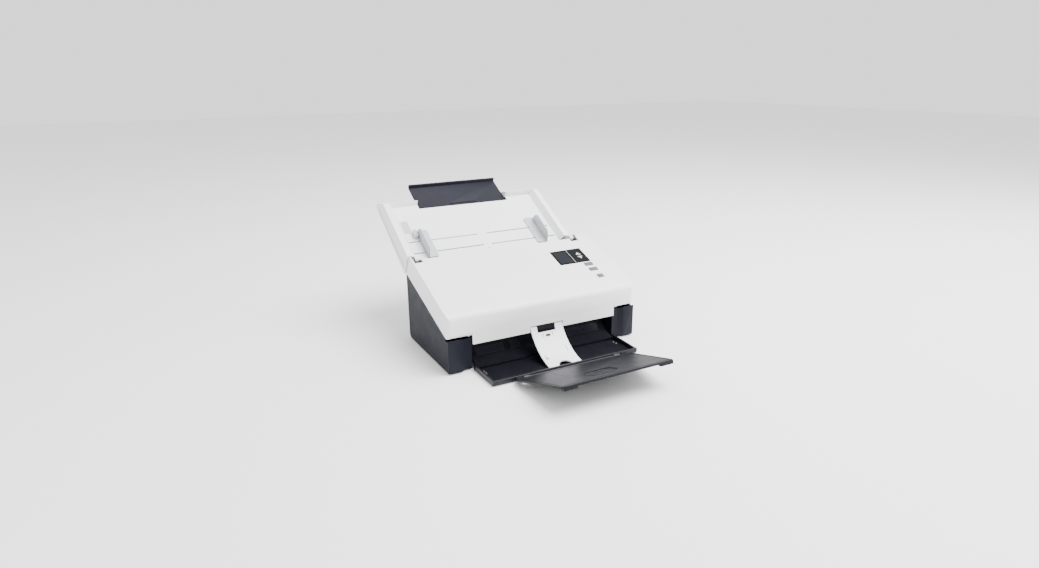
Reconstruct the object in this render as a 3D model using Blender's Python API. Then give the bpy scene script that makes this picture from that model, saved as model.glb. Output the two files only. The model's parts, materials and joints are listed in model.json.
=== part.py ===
"""Sheet fed document scanner: a desk scanner with a fold-down paper tray and a pull-out exit tray.

Lengths below are millimetres and become metres where a mesh is made. X runs along the rollers,
Y from the front to the back and Z up from the desk. Four flat sections are drawn in the planes
that they belong to: side (Y, Z), paper (along and off the paper path), lid (along and off the
cover's sloping top) and flap (along and off the exit flap).
"""

import math

import bmesh
import bpy
from mathutils import Vector

METRE = 0.001
GAP = 0.4

# whole machine
HALF_WIDTH = 158.0
MIDDLE_Y = -68.04         # moves the machine so that its box is centred on the origin
WALL = 2.8
BASE_BOTTOM = 2.0
BASE_REAR = 162.4
FOOT_RADIUS = 8.0

# white cover, side section
COVER_LOW = 50.6
COVER_HIGH = 85.2
COVER_BACK_TOP = (143.9, 137.7)
COVER_BACK_LOW = (163.1, 107.4)
SKIRT_LOW = 39.8
PILLAR_TOP = 51.3         # the base's front pillars, just under the cover's cut edge
BIN_HALF = 120.5
HINGE_Y, HINGE_Z = 5.4, 55.6
SKIRT_SWING = 8.9         # clears the notched edge of the skirt as the cover turns
LID_ANGLE = math.atan2(COVER_BACK_TOP[1] - COVER_HIGH, COVER_BACK_TOP[0])

# paper path
PATH_ANGLE = math.radians(29.9)
PATH_Y, PATH_Z = 168.0, 133.8
TRAY_LEFT, TRAY_RIGHT = -158.0, 131.0
PAPER_MIDDLE = -15.0
PIVOT_Y, PIVOT_Z = 140.0, 133.5
FRAME_LEFT, FRAME_RIGHT, FRAME_THICK = -154.8, 131.5, 3.0

# racks of the paper guides, under the plate, and the pinion between them
PINION_S, PINION_RADIUS, PINION_TEETH = 14.4, 10.0, 16
PITCH = 2 * math.pi * PINION_RADIUS / PINION_TEETH
RACK_LOW, RACK_HIGH = -6.2, -3.0
GUIDE_SLOTS = (1.0, 27.2)
GUIDE_FROM_MIDDLE = 106.0
EXTENSION_BAY = (-97.6, 67.6)

# rollers: place along the path, depth of the centre, radius
SHAFT_RADIUS = 3.0
BORE = SHAFT_RADIUS + 0.35
TYRE_WIDTH = 26.0
TYRES = [(x, x + TYRE_WIDTH) for x in (-112.0, -56.0, 0.0, 56.0)]
FEED_TYRES = [(-48.0, -20.0), (-10.0, 18.0)]
ROLLER_WINDOW = (-115.6, 85.6)
FEED_WINDOW = (-54.0, 24.0)
SENSOR_WINDOW = (-130.0, 108.0, -119.0, -97.0)
SENSOR_BAR = (-128.0, 106.0, -118.0, -98.0)
FEED = (-50.0, -10.6, 11.0)
TRANSPORT = (-82.0, -7.6, 8.0)
EXIT = (-148.0, -7.6, 8.0)
MOTOR_Y, MOTOR_Z, MOTOR_RADIUS = 100.0, 38.0, 17.0
PULLEY_RADIUS = 7.7
PULLEY_LOW, PULLEY_HIGH = 137.0, 145.0

# exit tray
FLAP_Y, FLAP_Z = -66.0, 6.0
FLAP_ANGLE = math.radians(17.0)
FLAP_LENGTH = 116.2
FLAP_MIDDLE = 4.5
FLAP_HALF, FLAP_TIP_HALF = 95.5, 86.0
GUIDE_Y, GUIDE_Z = 3.0, 44.3

WHITE = ((0.90, 0.90, 0.92), 0.35, 0.0)
TRANSLUCENT = ((0.74, 0.76, 0.79), 0.30, 0.0)
SLATE = ((0.055, 0.060, 0.085), 0.45, 0.0)
BLACK = ((0.010, 0.010, 0.016), 0.35, 0.0)
SCREEN = ((0.030, 0.034, 0.045), 0.15, 0.0)
KEY_GREY = ((0.32, 0.33, 0.34), 0.45, 0.0)
STEEL = ((0.60, 0.60, 0.62), 0.30, 1.0)
RUBBER = ((0.05, 0.05, 0.05), 0.80, 0.0)
BOARD = ((0.02, 0.16, 0.06), 0.50, 0.0)
GLASS = ((0.55, 0.60, 0.60), 0.05, 0.0)
PART_GREY = ((0.22, 0.23, 0.25), 0.50, 0.0)

# x0, x1, t0, t1, top above the cover, look
PANEL_PIECES = {
    "panel_bezel": (66, 122.4, 75.4, 113, 0.3, BLACK),
    "scan_button": (106.6, 121.4, 64.2, 72, 0.9, KEY_GREY),
    "mode_button": (107, 122, 50, 57.6, 0.9, KEY_GREY),
    "stop_button": (110.8, 121, 31, 38.8, 0.9, KEY_GREY),
}
DISPLAY = (69.0, 93.4, 79.0, 109.6)
KEY_X = 111.0
KEYS = (("up_key", 99.1, 1), ("down_key", 88.2, -1))


# ---------------------------------------------------------------- planes and outlines

def paper(s, h):
    """A point s along the paper path, upwards, and h off it, as (y, z)."""
    return (PATH_Y + s * math.cos(PATH_ANGLE) - h * math.sin(PATH_ANGLE),
            PATH_Z + s * math.sin(PATH_ANGLE) + h * math.cos(PATH_ANGLE))


def lid(t, n):
    """A point t up the cover's sloping top and n above it, as (y, z)."""
    return (t * math.cos(LID_ANGLE) - n * math.sin(LID_ANGLE),
            COVER_HIGH + t * math.sin(LID_ANGLE) + n * math.cos(LID_ANGLE))


def flap(r, q):
    """A point r forward from the flap's hinge and q above its plane, as (y, z)."""
    return (FLAP_Y - r * math.cos(FLAP_ANGLE) + q * math.sin(FLAP_ANGLE),
            FLAP_Z + r * math.sin(FLAP_ANGLE) + q * math.cos(FLAP_ANGLE))


def side(y, z):
    return (y, z)


def box_outline(a0, a1, b0, b1):
    return [(a0, b0), (a1, b0), (a1, b1), (a0, b1)]


def inside(box, margin):
    """The outline of a box (a0, a1, b0, b1), drawn in by a margin."""
    a0, a1, b0, b1 = box
    return box_outline(a0 + margin, a1 - margin, b0 + margin, b1 - margin)


def disc_outline(a, b, radius, steps=16):
    turn = [2 * math.pi * (k + 0.5) / steps for k in range(steps)]
    return [(a + radius * math.cos(x), b + radius * math.sin(x)) for x in turn]


def rounded(points, radii, steps=4):
    """Replace each corner of a closed outline by an arc of the radius given for it."""
    result = []
    count = len(points)
    for k, (point, radius) in enumerate(zip(points, radii)):
        here = Vector(point)
        if radius <= 0:
            result.append(tuple(here))
            continue
        back = (Vector(points[k - 1]) - here).normalized()
        ahead = (Vector(points[(k + 1) % count]) - here).normalized()
        half = back.angle(ahead) / 2
        centre = here + (back + ahead).normalized() * radius / math.sin(half)
        start = here + back * radius / math.tan(half) - centre
        end = here + ahead * radius / math.tan(half) - centre
        for j in range(steps + 1):
            share = j / steps
            arm = start.slerp(end, share) if share not in (0, 1) else (start, end)[j // steps]
            result.append(tuple(centre + arm.normalized() * radius))
    return result


def belt_outline(centres, radius, steps=7):
    """A loop at one distance outside a convex ring of centres, listed anticlockwise."""
    loop = []
    count = len(centres)
    for k, centre in enumerate(centres):
        before = Vector(centre) - Vector(centres[k - 1])
        after = Vector(centres[(k + 1) % count]) - Vector(centre)
        low = math.atan2(before.y, before.x) - math.pi / 2
        high = math.atan2(after.y, after.x) - math.pi / 2
        if high < low:
            high += 2 * math.pi
        for j in range(steps + 1):
            turn = low + (high - low) * j / steps
            loop.append((centre[0] + radius * math.cos(turn), centre[1] + radius * math.sin(turn)))
    return loop


# ---------------------------------------------------------------- meshes and objects

def across(outline, x0, x1, plane=side):
    """Sweep an outline in one of the side planes along X."""
    ring = [plane(a, b) for a, b in outline]
    return [(x0, y, z) for y, z in ring], [(x1, y, z) for y, z in ring]


def upright(outline, z0, z1):
    """Raise an (x, y) outline along Z."""
    return [(x, y, z0) for x, y in outline], [(x, y, z1) for x, y in outline]


def off_plane(outline, low, high, plane):
    """Raise an (x, along) outline off a sloping plane."""
    rings = []
    for level in (low, high):
        rings.append([(x, *plane(along, level)) for x, along in outline])
    return rings[0], rings[1]


def place(x, y, z):
    return Vector((x, y + MIDDLE_Y, z)) * METRE


MATERIALS = {}


def finish_of(look):
    """One material for each look, made when it is first used."""
    if look not in MATERIALS:
        colour, roughness, metallic = look
        material = bpy.data.materials.new("finish_%d" % len(MATERIALS))
        material.use_nodes = True
        shader = material.node_tree.nodes["Principled BSDF"]
        shader.inputs["Base Color"].default_value = (*colour, 1.0)
        shader.inputs["Roughness"].default_value = roughness
        shader.inputs["Metallic"].default_value = metallic
        MATERIALS[look] = material
    return MATERIALS[look]


def add_object(name, bm, look, pivot=None, smooth=True):
    """Turn a bmesh into a named object; a moving piece hangs on its joint's empty."""
    bmesh.ops.recalc_face_normals(bm, faces=bm.faces)
    mesh = bpy.data.meshes.new(name)
    bm.to_mesh(mesh)
    bm.free()
    if smooth:
        mesh.shade_smooth()
        mesh.set_sharp_from_angle(angle=math.radians(35))
    if look:
        mesh.materials.append(finish_of(look))
    thing = bpy.data.objects.new(name, mesh)
    bpy.context.scene.collection.objects.link(thing)
    if pivot:
        thing.parent = pivot
        thing.matrix_parent_inverse = pivot.matrix_world.inverted()
    return thing


def solid_between(bm, first, second):
    """Close two matching rings into a prism."""
    low = [bm.verts.new(place(*p)) for p in first]
    high = [bm.verts.new(place(*p)) for p in second]
    count = len(low)
    bm.faces.new(low[::-1])
    bm.faces.new(high)
    for k in range(count):
        after = (k + 1) % count
        bm.faces.new((low[k], low[after], high[after], high[k]))


def prism(name, rings, look, pivot=None, soften=None):
    """A prism between two rings; soften lists (test, width, steps) for edges to round."""
    bm = bmesh.new()
    solid_between(bm, *rings)
    for test, width, steps in soften or ():
        edges = [e for e in bm.edges if all(test(*unplace(v.co)) for v in e.verts)]
        bmesh.ops.bevel(bm, geom=edges, offset=width * METRE, segments=steps, profile=0.5,
                        affect="EDGES", clamp_overlap=True)
    bmesh.ops.remove_doubles(bm, verts=bm.verts, dist=0.01 * METRE)
    return add_object(name, bm, look, pivot)


def unplace(co):
    return (co.x / METRE, co.y / METRE - MIDDLE_Y, co.z / METRE)


def turned(name, profile, centre, look, pivot=None, steps=20):
    """Turn a closed (x, radius) profile about an axis along X; radius 0 closes on the axis."""
    bm = bmesh.new()
    rings = []
    for x, radius in profile:
        if radius == 0:
            rings.append([bm.verts.new(place(x, *centre))])
            continue
        ring = []
        for k in range(steps):
            turn = 2 * math.pi * k / steps
            y = centre[0] + radius * math.cos(turn)
            z = centre[1] + radius * math.sin(turn)
            ring.append(bm.verts.new(place(x, y, z)))
        rings.append(ring)
    for first, second in zip(rings, rings[1:] + rings[:1]):
        if len(first) == 1 and len(second) == 1:
            continue
        for k in range(steps):
            after = (k + 1) % steps
            corners = [first[k % len(first)], first[after % len(first)],
                       second[after % len(second)], second[k % len(second)]]
            bm.faces.new(list(dict.fromkeys(corners)))
    return add_object(name, bm, look, pivot)


def combine(target, tool, operation):
    change = target.modifiers.new(operation.lower(), "BOOLEAN")
    change.operation = operation
    change.solver = "EXACT"
    change.object = tool
    tool.hide_render = True
    tool.display_type = "WIRE"


def cut(target, *shapes):
    for rings in shapes:
        combine(target, prism("cutter", rings, None), "DIFFERENCE")


def add(target, *shapes):
    for rings in shapes:
        combine(target, prism("block", rings, None), "UNION")


def pivot_at(name, y, z, x=0.0, parent=None):
    """An empty on a joint's axis."""
    empty = bpy.data.objects.new(name, None)
    bpy.context.scene.collection.objects.link(empty)
    empty.location = place(x, y, z)
    bpy.context.view_layer.update()
    if parent:
        empty.parent = parent
        empty.matrix_parent_inverse = parent.matrix_world.inverted()
        bpy.context.view_layer.update()
    return empty


def shaft(name, centre, x0, x1, look, pivot=None, radius=SHAFT_RADIUS):
    return turned(name, [(x0, 0), (x0, radius), (x1, radius), (x1, 0)], centre, look, pivot, 16)


def sleeve(name, centre, spans, radius, bore, look, pivot, steps=20):
    """A tube on a shaft with a raised ring over each span; bore 0 makes it a solid axle."""
    neck = max(bore + 1.3, radius * 0.5)
    start, end = spans[0][0] - 2, spans[-1][1] + 2
    profile = [(start, bore), (start, neck)]
    for low, high in spans:
        profile += [(low, neck), (low, radius), (high, radius), (high, neck)]
    profile += [(end, neck), (end, bore)]
    return turned(name, profile, centre, look, pivot, steps)


# ---------------------------------------------------------------- base

def base_side(sign, name):
    """A side cover: one slate shell with a hollow front pillar beside the paper bin."""
    outline = [(0, BASE_BOTTOM), (0, PILLAR_TOP), (0.9, COVER_LOW - 0.1),
               (BASE_REAR, COVER_BACK_LOW[1] - 0.7), (BASE_REAR, BASE_BOTTOM)]
    outline = rounded(outline, (0, 0, 0, 0, 7), 5)
    outer, inner = sign * HALF_WIDTH, sign * BIN_HALF

    def front_or_bottom(x, y, z):
        upright_edge = abs(x - outer) < 0.01 and y < 0.01
        return upright_edge or z < BASE_BOTTOM + 0.01 and (abs(x - outer) < 0.01 or y < 0.01)

    shell = prism(name, across(outline, min(outer, inner), max(outer, inner)), SLATE,
                  soften=[(front_or_bottom, 7, 3)])
    skin, face = sign * (HALF_WIDTH - WALL), sign * (BIN_HALF + WALL)
    past = sign * (BIN_HALF - 4)
    pocket = [(skin, 8.0), (skin - sign * 4.6, 3.4), (face, 6.4), (face, 36), (past, 36),
              (past, 175), (skin, 175)]
    chamfer = [(sign * 139.5, -0.01), (sign * 119, -0.01), (sign * 119, 4.6), (sign * 131, 4.6)]
    scoop = across(disc_outline(HINGE_Y, HINGE_Z, 6.9, 24), -170, 170)
    cut(shell, upright(pocket, BASE_BOTTOM + 2.4, 130), upright(chamfer, -5, 60), scoop)
    arm = [(36, 46), (36, 52), (27, 57.9), (HINGE_Y, 57.9), (3.5, 57), (3.1, HINGE_Z), (3.5, 54.2),
           (HINGE_Y, 53.3), (17, 53.3), (17, 46)]
    add(shell, across(arm, min(sign * 120.8, face), max(sign * 120.8, face)))
    cut(shell, across(disc_outline(HINGE_Y, HINGE_Z, 1.5, 12), -170, 170))
    if sign > 0:
        button = rounded(box_outline(112, 132, 58, 70), (3,) * 4, 3)
        cut(shell, across(button, HALF_WIDTH - 5, HALF_WIDTH + 5))


def base_panels():
    pan = prism("base_pan", upright(box_outline(-120.1, 120.1, 58, 162), BASE_BOTTOM, 10), SLATE)
    cut(pan, upright(box_outline(-117, 117, 61, 156.5), BASE_BOTTOM + 2.4, 20),
        upright(box_outline(-130, 130, 158.9, 170), BASE_BOTTOM + 2.4, 20))
    profile = [(159.4, 4.8), (BASE_REAR, 4.8), (BASE_REAR, 106), (154.6, 122.5), (152.6, 121.2),
               (159.4, 105.4)]
    rear = prism("rear_cover", across(profile, -154.7, 154.7), SLATE)
    cut(rear, across(box_outline(150, 170, 100, 130), -160, -151.2),
        across(box_outline(150, 170, 100, 130), 131, 160))
    for k in range(7):
        z = 50 + 6 * k
        cut(rear, across(box_outline(150, 170, z, z + 2.6), 30, 110))
    cut(rear, across(box_outline(150, 170, 20, 34), -63, -47),
        across(box_outline(150, 170, 19, 35), -99, -81),
        across(box_outline(150, 170, 20, 34), -137, -115))
    for row, y in (("front", 32), ("rear", 146)):
        for side_name, x in (("left", -140), ("right", 140)):
            disc = disc_outline(x, y, FOOT_RADIUS)
            prism("foot_%s_%s" % (row, side_name), upright(disc, 0, BASE_BOTTOM - 0.3), RUBBER)


def paper_bin():
    """The curved liner that turns sheets down and out at the front."""
    centre_y, centre_z, radius, thick = -6.0, 45.0, 38.0, 2.4
    turns = [math.radians(-90 + 90 * k / 8) for k in range(9)]
    inner = [(centre_y + radius * math.cos(a), centre_z + radius * math.sin(a)) for a in turns]
    outer = [(centre_y + (radius + thick) * math.cos(a), centre_z + (radius + thick) * math.sin(a))
             for a in reversed(turns)]
    liner = prism("output_bin", across(inner + outer, -116, 116), BLACK)
    for x in (-98, -40, 52):
        cut(liner, across(box_outline(20, 40, 33, 39), x, x + 22))


def frames():
    """Two upright plates that carry the shafts and, at the top, the tray's pivots."""
    knuckle = [(PIVOT_Y + 5 * math.cos(a), PIVOT_Z + 5 * math.sin(a))
               for a in (math.radians(-20 + 220 * k / 9) for k in range(10))]
    outline = [(40, 10.8), (155.8, 10.8), (155.8, 101), (148.5, 116)] + knuckle
    outline += [(134, 121), (120, 115), (40, 66)]
    for name, x in (("left_frame", FRAME_LEFT), ("right_frame", FRAME_RIGHT)):
        plate = prism(name, across(outline, x, x + FRAME_THICK), PART_GREY)
        for s, h, _ in (FEED, TRANSPORT, EXIT):
            cut(plate, across(disc_outline(*paper(s, h), SHAFT_RADIUS + 0.4), -170, 170))
        cut(plate, across(disc_outline(PIVOT_Y, PIVOT_Z, 2.6), -170, 170))
        if x > 0:
            cut(plate, across(disc_outline(MOTOR_Y, MOTOR_Z, SHAFT_RADIUS + 0.8), -170, 170))


def pillar_rooms():
    """The front corners that both halves of the path leave free for the hinge arms."""
    return [off_plane(box_outline(*ends, -180, -149.5), -9, 20, paper)
            for ends in ((-170, -119.6), (119.6, 170))]


def lower_path():
    """The lower half of the straight paper path, with its image sensor."""
    low, high = FRAME_LEFT + FRAME_THICK + GAP, FRAME_RIGHT - GAP
    guide = prism("lower_guide", off_plane(box_outline(low, high, -165, -15), -2.5, 0, paper), BLACK)
    for (x0, x1), (s, _, radius) in ((FEED_WINDOW, FEED), (ROLLER_WINDOW, TRANSPORT),
                                     (ROLLER_WINDOW, EXIT)):
        cut(guide, off_plane(box_outline(x0, x1, s - radius - 0.6, s + radius + 0.6), -9, 9, paper))
    cut(guide, off_plane(box_outline(*SENSOR_WINDOW), -9, 9, paper), *pillar_rooms())
    prism("lower_sensor_glass",
          off_plane(inside(SENSOR_WINDOW, GAP), -2.5, -0.2, paper), GLASS)
    prism("lower_image_sensor",
          off_plane(box_outline(*SENSOR_BAR), -16, -2.9, paper), PART_GREY)


def electronics():
    board = prism("main_board", upright(box_outline(-105, 60, 66, 150), 6.6, 8.2), BOARD)
    add(board, upright(box_outline(-60, -30, 90, 120), 8, 11), upright(box_outline(5, 25, 80, 92), 8, 18),
        upright(box_outline(30, 50, 110, 140), 8, 13), upright(box_outline(-98, -78, 72, 84), 8, 20))
    motor = shaft("drive_motor", (MOTOR_Y, MOTOR_Z), 103, 131.1, STEEL, None, MOTOR_RADIUS)
    cut(motor, across(disc_outline(MOTOR_Y, MOTOR_Z, SHAFT_RADIUS + 0.4), 118, 140))
    port = prism("usb_port", across(box_outline(148, 162.2, 20.4, 33.6), -62.6, -47.4), STEEL)
    cut(port, across(box_outline(151, 170, 22, 32), -61, -49))
    add(port, across(box_outline(150, 152, 24, 28), -59, -51))
    inlet = prism("power_inlet", across(box_outline(146, 162.2, 19.4, 34.6), -98.6, -81.4), BLACK)
    cut(inlet, across(box_outline(149, 170, 21.5, 32.5), -95.5, -84.5))
    add(inlet, across(box_outline(147, 159, 26, 28), -91, -89))


def roller_set():
    """Three driven shafts and the motor's, with one belt round their pulleys."""
    axes = {"feed": FEED, "transport": TRANSPORT, "exit": EXIT}
    for name, (s, h, radius) in axes.items():
        centre = paper(s, h)
        pivot = pivot_at(name + "_axis", *centre)
        shaft(name + "_shaft", centre, -154.4, 149, STEEL, pivot)
        turned(name + "_pulley", pulley_profile(BORE), centre, PART_GREY, pivot)
        if name == "feed":
            sleeve("feed_roller", centre, FEED_TYRES, radius, BORE, RUBBER, pivot, 24)
        else:
            sleeve(name + "_rollers", centre, TYRES, radius, BORE, RUBBER, pivot)
    motor_axis = pivot_at("motor_axis", MOTOR_Y, MOTOR_Z)
    profile = [(120, 0), (120, SHAFT_RADIUS), (PULLEY_LOW, SHAFT_RADIUS), (PULLEY_LOW, PULLEY_RADIUS),
               (PULLEY_HIGH, PULLEY_RADIUS), (PULLEY_HIGH, 0)]
    turned("motor_pulley", profile, (MOTOR_Y, MOTOR_Z), STEEL, motor_axis)
    centres = [paper(*EXIT[:2]), (MOTOR_Y, MOTOR_Z), paper(*FEED[:2]), paper(*TRANSPORT[:2])]
    belt = prism("drive_belt", across(belt_outline(centres, PULLEY_RADIUS + 1.8),
                                      PULLEY_LOW + 0.6, PULLEY_HIGH - 0.6), RUBBER)
    cut(belt, across(belt_outline(centres, PULLEY_RADIUS + 0.4), PULLEY_LOW - 5, PULLEY_HIGH + 5))


def pulley_profile(bore):
    return [(PULLEY_LOW, bore), (PULLEY_LOW, PULLEY_RADIUS), (PULLEY_HIGH, PULLEY_RADIUS),
            (PULLEY_HIGH, bore)]


def side_switches():
    release = pivot_at("release_axis", 122, 64, HALF_WIDTH)
    face = rounded(box_outline(112.4, 131.6, 58.4, 69.6), (2.7,) * 4, 3)
    button = prism("cover_release", across(face, HALF_WIDTH - 6.4, HALF_WIDTH - GAP), SLATE, release)
    add(button, across(box_outline(110, 134, 56, 72), HALF_WIDTH - 8, HALF_WIDTH - 6))
    switch_axis = pivot_at("switch_axis", 163, 27, -126)
    switch = prism("power_switch", across(box_outline(155, 163.8, 22, 32), -131, -124), BLACK,
                   switch_axis)
    add(switch, across(box_outline(154, 157, 18, 36), -133, -122))


# ---------------------------------------------------------------- cover

def cover_shell(hinge):
    """The white cover: a thin shell, open below and behind, with a skirt over the bin."""
    outline = [(0, COVER_LOW), (0, COVER_HIGH), COVER_BACK_TOP, COVER_BACK_LOW]

    def upright_corner(x, y, z):
        return abs(abs(x) - HALF_WIDTH) < 0.01 and y < 0.01

    def top_rim(x, y, z):
        on_top = abs(z - COVER_HIGH - y * math.tan(LID_ANGLE)) < 0.02
        return on_top and (y < 8.1 or abs(abs(x) - HALF_WIDTH) < 0.02)

    cover = prism("top_cover", across(outline, -HALF_WIDTH, HALF_WIDTH), WHITE, hinge,
                  [(upright_corner, 8, 4), (top_rim, 2.4, 3)])
    skirt = across(box_outline(0, WALL, SKIRT_LOW, COVER_LOW + 8), -BIN_HALF + 0.6, BIN_HALF - 0.6)
    ceiling = COVER_HIGH + WALL * math.tan(LID_ANGLE) - WALL / math.cos(LID_ANGLE)
    back = lid(200, -WALL)
    room = [(WALL, 30), (WALL, ceiling), back, (back[0], 30)]
    side_room = [(WALL, 30), (WALL, ceiling), lid(150, -WALL), (158.6, 107.4), (158.6, 30)]
    cut(cover, across(side_room, -HALF_WIDTH + WALL, HALF_WIDTH - WALL))
    cut(cover, across(room, -HALF_WIDTH + WALL, 135.4))
    cut(cover, across([(-1, 49), (3, 49), (-1, 53)], -170, 170))
    add(cover, skirt)
    notch_low, notch_high = 127.0, 180.0
    cut(cover, upright(box_outline(-142.5, 121, 134.4, notch_high), 90, 170),
        upright(box_outline(-HALF_WIDTH + WALL - 0.02, -142, notch_low, notch_high), 90, 170),
        upright(box_outline(120.5, 135.4, notch_low, notch_high), 90, 170),
        upright(box_outline(-28.4, 27.4, -5, 6), 30, 49))
    for low, high in ((-126.4, -123.8), (-120.3, -118), (118, 120.3), (123.8, 126.4)):
        add(cover, across(box_outline(2.5, 8.4, 52.4, 60.5), low, high))
    cut(cover, across(disc_outline(HINGE_Y, HINGE_Z, 1.5, 12), -127, 127))
    for x0, x1, t0, t1, _, _ in PANEL_PIECES.values():
        cut(cover, off_plane(box_outline(x0 - GAP, x1 + GAP, t0 - GAP, t1 + GAP), -9, 5, lid))
    for name, sign in (("cover_pin_left", -1), ("cover_pin_right", 1)):
        ends = sorted((sign * 118, sign * 126.4))
        shaft(name, (HINGE_Y, HINGE_Z), *ends, STEEL, hinge, 1.1)


def control_panel(hinge):
    for name, (x0, x1, t0, t1, top, look) in PANEL_PIECES.items():
        pivot = hinge
        if name != "panel_bezel":
            pivot = pivot_at(name + "_axis", *lid((t0 + t1) / 2, 0), (x0 + x1) / 2, hinge)
        face = rounded(box_outline(x0, x1, t0, t1), (1.2,) * 4, 3)
        depth = -WALL - 2.2 if name != "panel_bezel" else -WALL - 0.6
        piece = prism(name, off_plane(face, depth, top, lid), look, pivot)
        edge = 1.8
        rim = box_outline(x0 - edge, x1 + edge, t0 - edge, t1 + edge)
        if name != "panel_bezel":
            add(piece, off_plane(rim, depth - 1, depth + 0.2, lid))
        else:
            add(piece, off_plane(rim, depth - 1, -WALL - 0.4, lid))
            cut(piece, off_plane(box_outline(*DISPLAY), -0.9, 5, lid))
            for _, middle, way in KEYS:
                cut(piece, off_plane(key_outline(middle, way, GAP), -9, 5, lid))
    screen = rounded(inside(DISPLAY, GAP), (0.8,) * 4, 2)
    prism("display_window", off_plane(screen, -0.6, 0.15, lid), SCREEN, hinge)
    for name, middle, way in KEYS:
        pivot = pivot_at(name + "_axis", *lid(middle, 0), KEY_X, hinge)
        key = prism(name, off_plane(key_outline(middle, way, 0), -7.4, 0.7, lid), TRANSLUCENT, pivot)
        add(key, off_plane(box_outline(KEY_X - 5, KEY_X + 5, middle - 4.6, middle + 4.6), -8.4, -7.2, lid))


def key_outline(middle, way, grow):
    """A triangle that points up or down the panel."""
    width, height = 4.6 + 1.7 * grow, 3.4 + 1.2 * grow
    points = [(KEY_X - width, middle - way * height), (KEY_X + width, middle - way * height),
              (KEY_X, middle + way * height)]
    return points if way > 0 else points[::-1]


def upper_path(hinge):
    """What the cover carries over the paper path."""
    low, high = FRAME_LEFT + FRAME_THICK + GAP, FRAME_RIGHT - GAP
    section = [(-160, 1.2), (-44, 1.2), (-33, 11.6), (-34.6, 12.8), (-45, 3.4), (-160, 3.4)]
    guide = prism("upper_guide", across(section, low, high, paper), PART_GREY, hinge)
    window = box_outline(FEED_WINDOW[0], FEED_WINDOW[1], FEED[0] - 8.2, FEED[0] + 8.2)
    cut(guide, off_plane(window, -9, 20, paper))
    for s, _, _ in (TRANSPORT, EXIT):
        window = box_outline(ROLLER_WINDOW[0], ROLLER_WINDOW[1], s - 7, s + 7)
        cut(guide, off_plane(window, -9, 9, paper))
    cut(guide, off_plane(box_outline(*SENSOR_WINDOW), -9, 9, paper), *pillar_rooms())
    prism("upper_sensor_glass",
          off_plane(inside(SENSOR_WINDOW, GAP), 1.4, 3.7, paper), GLASS, hinge)
    prism("upper_image_sensor",
          off_plane(box_outline(*SENSOR_BAR), 4.1, 17, paper), PART_GREY, hinge)
    centre = paper(FEED[0], 7.9)
    sleeve("separation_roller", centre, FEED_TYRES, 7.0, 0, RUBBER,
           pivot_at("separation_axis", *centre, parent=hinge))
    for name, (s, _, _) in (("transport_idlers", TRANSPORT), ("exit_idlers", EXIT)):
        centre = paper(s, 6.9)
        sleeve(name, centre, TYRES, 6.0, 0, PART_GREY,
               pivot_at(name + "_axis", *centre, parent=hinge), 16)


# ---------------------------------------------------------------- input tray

def tray(hinge):
    """The tray's deep shell, which closes over the cover as a lid, and its paper plate."""
    outline = [(-13, -28), (-13, 10), (110, 10), (116, 8.6), (143, -14), (143, -20)]
    outline = rounded(outline, (3, 2, 6, 6, 5, 3), 3)
    shell = prism("tray_shell", across(outline, TRAY_LEFT, TRAY_RIGHT, paper), WHITE, hinge)
    channel = [(TRAY_LEFT + 16, -2.9), (TRAY_LEFT + 16, 0.2), (TRAY_LEFT + 8.5, 11),
               (TRAY_RIGHT - 8.5, 11), (TRAY_RIGHT - 15, 0.2), (TRAY_RIGHT - 15, -2.9)]
    rings = [[(x, *paper(s, h)) for x, h in channel] for s in (-30, 115.4)]
    cut(shell, rings)
    hollow = [(-10.2, -24.6), (-10.2, -2), (113, -2), (136, -13), (136, -18)]
    cut(shell, across(hollow, TRAY_LEFT + 3, TRAY_RIGHT - 3, paper))
    cut(shell, across([(90, -7), (90, 20), (150, 20), (150, -7)], *EXTENSION_BAY, paper))
    groove = rounded(box_outline(-6, 130, -21, -7), (2, 7, 7, 2), 4)
    cut(shell, across(groove, TRAY_LEFT - 5, TRAY_LEFT + 1.6, paper))
    for low, high in ((-151.2, -145.6), (125, 130.8)):
        arm = [(-9, 0.6), (-9, 9.6), (-13, 9.8), (-22, 17.4), (-25, 17.7), (-27.6, 16), (-28.4, 13.7),
               (-27.4, 11), (-24, 9.6), (-18, 3.6), (-14, 2.4)]
        add(shell, across(arm, low, high, paper))
    for low, high in ((-154.6, -148), (128, 134.3)):
        add(shell, across(disc_outline(PIVOT_Y, PIVOT_Z, 2.1), low, high))
    plate = prism("tray_plate", off_plane(box_outline(TRAY_LEFT + 16.4, TRAY_RIGHT - 15.4, -12.6, 115),
                                          -2.4, 0, paper), WHITE, hinge)
    cut(plate, off_plane(box_outline(*EXTENSION_BAY, 104, 120), -9, 9, paper))
    for s in GUIDE_SLOTS:
        for x0, x1 in ((-141, -22.4), (-6.6, 112)):
            cut(plate, off_plane(box_outline(x0, x1, s - 1.2, s + 1.2), -9, 9, paper))
    add(plate, off_plane(disc_outline(PAPER_MIDDLE, PINION_S, 2.4), -6.4, -2, paper))
    patch = box_outline(-140.8, -128.6, 47, 77)
    cut(plate, off_plane(patch, -0.7, 5, paper))


def teeth_line(x0, x1, s_body, s_pitch, phase):
    """A rack in plan: a bar with blunt teeth that point at the pinion."""
    way = 1 if s_pitch > s_body else -1
    tip, root = s_pitch + way * 0.75, s_pitch - way * 1.5
    points = [(x0, s_body), (x1, s_body), (x1, root)]
    centre = x1 - (x1 - phase) % PITCH
    while centre > x0 + 2:
        if centre < x1 - 2:
            points += [(centre + 1.25, root), (centre + 0.5, tip), (centre - 0.5, tip),
                       (centre - 1.25, root)]
        centre -= PITCH
    points.append((x0, root))
    return points


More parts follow.
